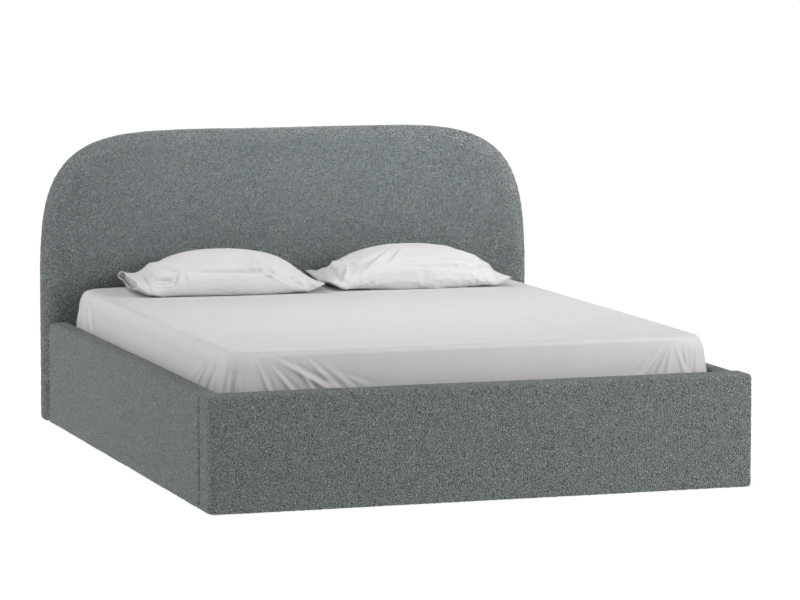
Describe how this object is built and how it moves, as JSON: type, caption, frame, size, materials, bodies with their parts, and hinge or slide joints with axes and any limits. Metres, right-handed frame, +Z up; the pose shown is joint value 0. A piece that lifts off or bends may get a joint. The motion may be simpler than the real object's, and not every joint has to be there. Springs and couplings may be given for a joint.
{
  "type": "upholstered bed",
  "caption": "Upholstered double bed with a wide round-cornered headboard, deep padded sides, a lifting slatted base over a storage box, a mattress and pillows.",
  "frame": {"origin": "on the floor, under the middle of the bed's outer box", "axes": "+X to the right seen from the foot, +Y from the foot to the headboard, +Z up"},
  "size_m": [1.832, 2.225, 1.033],
  "materials": {
    "boucle_fabric": "matt boucle weave",
    "lining_cloth": "matt non-woven cloth",
    "foam": "matt open-cell foam",
    "chipboard": "raw pressed chips",
    "pine": "planed softwood",
    "hardboard": "pale foil on hardboard",
    "beech_slats": "sealed bent beech",
    "black_plastic": "moulded, fine grain",
    "felt": "needled felt",
    "frame_paint": "satin powder coat",
    "mechanism_paint": "satin powder coat",
    "webbing": "woven webbing",
    "gas_cylinder_paint": "black gloss paint",
    "chrome_rod": "ground and plated",
    "zinc": "zinc plated",
    "mattress_ticking": "knitted ticking",
    "sheet_cotton": "smooth woven cotton",
    "pillow_cotton": "smooth woven cotton"
  },
  "bodies": {
    "root": {"headboard_frame": "pine", "headboard_board": "chipboard", "headboard_foam": "foam", "headboard_cover": "boucle_fabric", "headboard_back_lining": "lining_cloth", "side_rail_left_board": "chipboard", "side_rail_left_foam": "foam", "side_rail_left_cover": "boucle_fabric", "side_rail_right_board": "chipboard", "side_rail_right_foam": "foam", "side_rail_right_cover": "boucle_fabric", "footboard_front_board": "chipboard", "footboard_battens": "pine", "footboard_back_board": "chipboard", "footboard_foam": "foam", "footboard_cover": "boucle_fabric", "corner_brackets": "mechanism_paint", "bracket_bolts": "zinc", "floor_glides": "black_plastic", "floor_cleats": "pine", "centre_joist": "pine", "storage_floor_left": "hardboard", "storage_floor_right": "hardboard", "side_ledge_left": "pine", "side_ledge_right": "pine", "foot_ledge": "pine", "ledge_pads": "felt", "lift_left_rail_plate": "mechanism_paint", "lift_right_rail_plate": "mechanism_paint", "rail_plate_pins": "zinc", "lift_screws": "zinc"},
    "rear_arms": {"lift_left_rear_arm": "mechanism_paint", "lift_right_rear_arm": "mechanism_paint", "arm_studs": "zinc"},
    "front_arms": {"lift_left_front_arm": "mechanism_paint", "lift_right_front_arm": "mechanism_paint"},
    "gas_cylinders": {"lift_left_gas_cylinder": "gas_cylinder_paint", "lift_right_gas_cylinder": "gas_cylinder_paint"},
    "gas_rods": {"lift_left_gas_rod": "chrome_rod", "lift_right_gas_rod": "chrome_rod"},
    "lift_frame": {"frame_tube_left": "frame_paint", "frame_tube_right": "frame_paint", "frame_tube_head": "frame_paint", "frame_tube_foot": "frame_paint", "frame_tube_centre": "frame_paint", "frame_tube_cross": "frame_paint", "slats_left": "beech_slats", "slats_right": "beech_slats", "slat_holders_left": "black_plastic", "slat_holders_centre": "black_plastic", "slat_holders_right": "black_plastic", "mattress_stops": "frame_paint", "pull_strap": "webbing", "lift_left_frame_plate": "mechanism_paint", "lift_right_frame_plate": "mechanism_paint", "frame_plate_pins": "zinc"},
    "mattress": {"mattress": "mattress_ticking", "fitted_sheet": "sheet_cotton"},
    "pillow_left": {"pillow_left": "pillow_cotton"},
    "pillow_right": {"pillow_right": "pillow_cotton"}
  },
  "joints": [
    {"name": "lift", "type": "hinge", "parent": "root", "child": "rear_arms", "pos_m": [0, 0.26006, 0.17903], "axis": [1, 0, 0], "range_deg": [0, 64]},
    {"name": "frame_tilt", "type": "hinge", "parent": "rear_arms", "child": "lift_frame", "pos_m": [0, 0.584, 0.242], "axis": [-1, 0, 0], "range_deg": [0, 92.83]},
    {"name": "front_arm_turn", "type": "hinge", "parent": "root", "child": "front_arms", "pos_m": [0, 0.13306, 0.06103], "axis": [1, 0, 0], "range_deg": [0, 55.6]},
    {"name": "gas_turn", "type": "hinge", "parent": "root", "child": "gas_cylinders", "pos_m": [0, 0.30506, 0.07003], "axis": [1, 0, 0], "range_deg": [0, 40.56]},
    {"name": "gas_stroke", "type": "slide", "parent": "gas_cylinders", "child": "gas_rods", "axis": [0, 0.6262, 0.7797], "range_m": [0, 0.0907]},
    {"name": "mattress_off", "type": "slide", "parent": "lift_frame", "child": "mattress", "axis": [0, 0, 1], "range_m": [0, 0.12]},
    {"name": "pillow_left_off", "type": "slide", "parent": "mattress", "child": "pillow_left", "axis": [0, 0, 1], "range_m": [0, 0.15]},
    {"name": "pillow_right_off", "type": "slide", "parent": "mattress", "child": "pillow_right", "axis": [0, 0, 1], "range_m": [0, 0.15]}
  ],
  "couplings": [
    {"joint": "frame_tilt", "follows": "lift", "ratio": 1.4426},
    {"joint": "front_arm_turn", "follows": "lift", "ratio": 0.861},
    {"joint": "gas_turn", "follows": "lift", "ratio": 0.626},
    {"joint": "gas_stroke", "follows": "lift", "m_per_rad": 0.08075}
  ]
}
